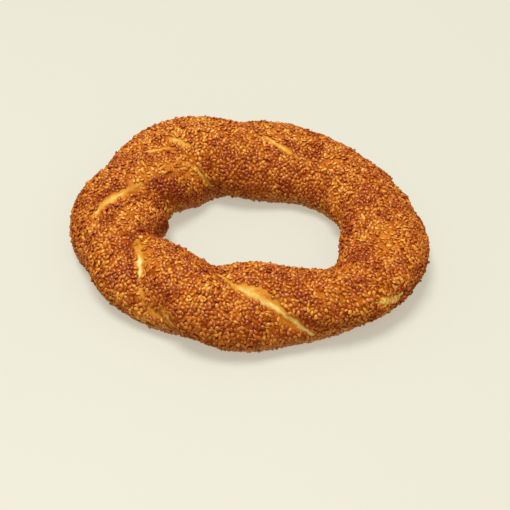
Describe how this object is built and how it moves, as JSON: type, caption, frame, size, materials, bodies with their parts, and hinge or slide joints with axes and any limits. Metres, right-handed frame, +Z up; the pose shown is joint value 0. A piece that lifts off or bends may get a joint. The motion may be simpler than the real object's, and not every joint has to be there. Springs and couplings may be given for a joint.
{
  "type": "simit",
  "caption": "Baked sesame bread ring of two dough strands twisted together, with an open middle and a flat underside.",
  "frame": {"origin": "centre of the bounding box in plan, at the flat underside the ring rests on", "axes": "+X along the ring's longest way, +Y across it in plan, +Z up through the ring's hole"},
  "size_m": [0.1988, 0.1782, 0.0379],
  "materials": {
    "crust": "baked golden-brown crust, closely covered with toasted seeds"
  },
  "bodies": {
    "root": {"simit": "crust"}
  },
  "joints": []
}
